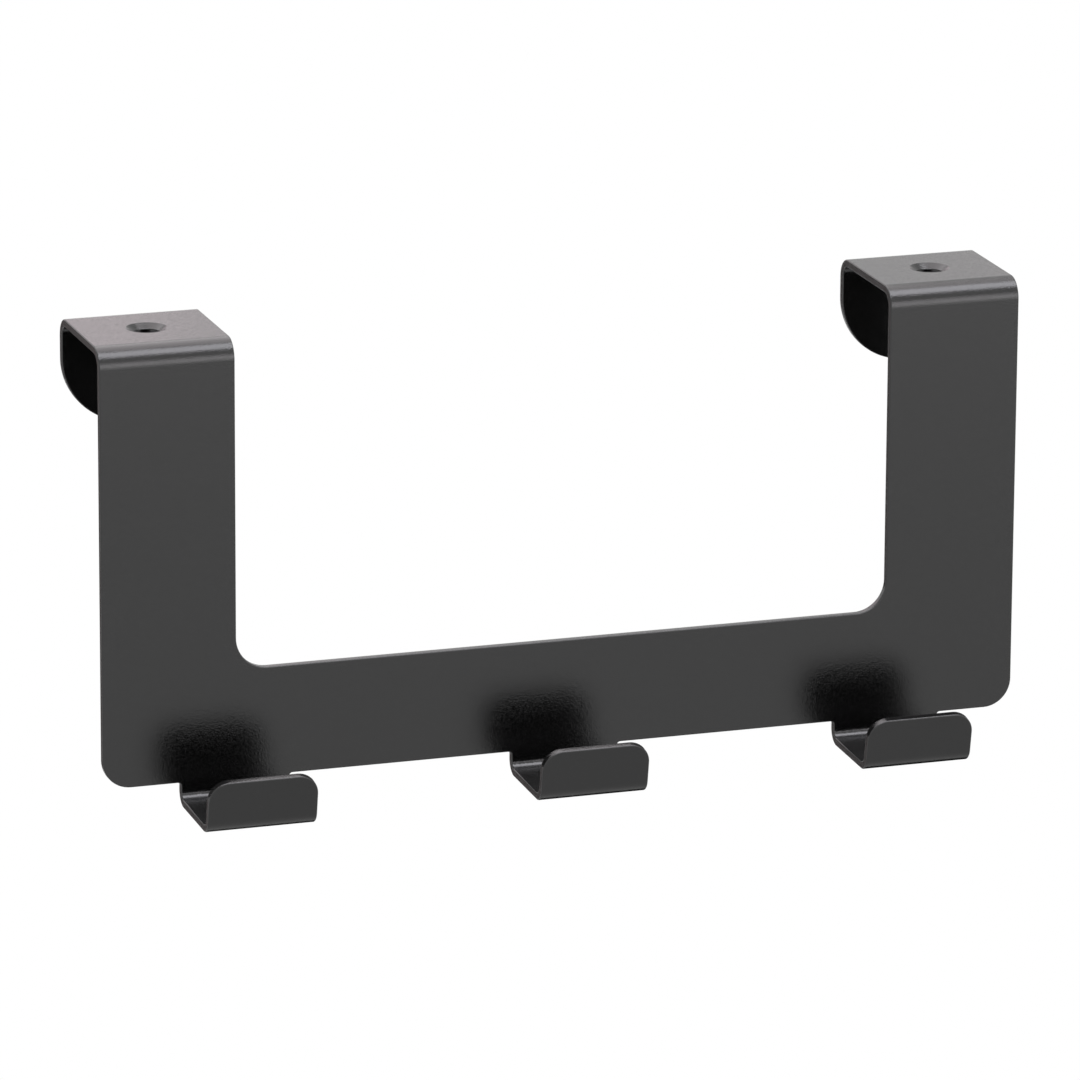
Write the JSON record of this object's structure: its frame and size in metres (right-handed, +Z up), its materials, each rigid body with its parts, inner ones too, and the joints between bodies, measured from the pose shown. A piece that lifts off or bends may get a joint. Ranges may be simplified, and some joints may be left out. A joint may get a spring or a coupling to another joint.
{
  "type": "over door hook rack",
  "caption": "Folded steel rack that hangs over the top of a door, with a low bar carrying J-shaped coat hooks.",
  "frame": {"origin": "middle of the door's top edge, halfway between the two screw holes, on the underside of the bracket tops", "axes": "+X along the rack to the right as seen from the front, +Y from the front of the door to its back, +Z up"},
  "size_m": [0.3, 0.078, 0.1481],
  "materials": {
    "powder_coated_steel": "black powder coat, fine texture, satin"
  },
  "bodies": {
    "root": {"hook_rack": "powder_coated_steel"}
  },
  "joints": []
}
